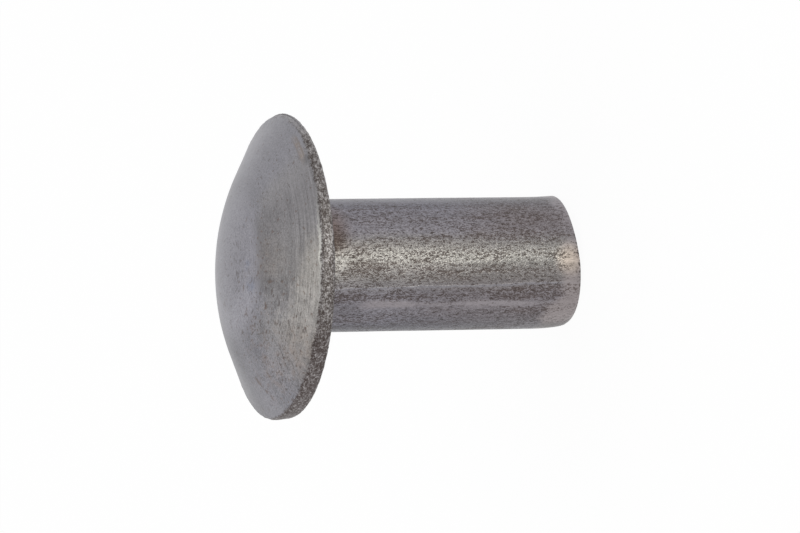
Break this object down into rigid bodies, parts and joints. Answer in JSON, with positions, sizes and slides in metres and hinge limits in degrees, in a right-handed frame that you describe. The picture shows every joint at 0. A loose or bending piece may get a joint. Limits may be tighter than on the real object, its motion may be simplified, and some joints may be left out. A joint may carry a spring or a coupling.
{
  "type": "low dome head solid rivet",
  "caption": "Solid steel rivet with a low domed head, a narrow upright rim, a flat bearing face and a plain round shank with a cropped end.",
  "frame": {"origin": "centre of the bearing face, the flat underside of the head, on the shank axis", "axes": "+Z along the shank axis from the shank end to the top of the head, -X towards the longer, rolled side of the shank end"},
  "size_m": [0.0137, 0.0136, 0.0161],
  "materials": {
    "bare_steel": "bare headed steel: satin grey on the dome, speckled with dark scale on the rim and along the shank"
  },
  "bodies": {
    "root": {"rivet": "bare_steel"}
  },
  "joints": []
}
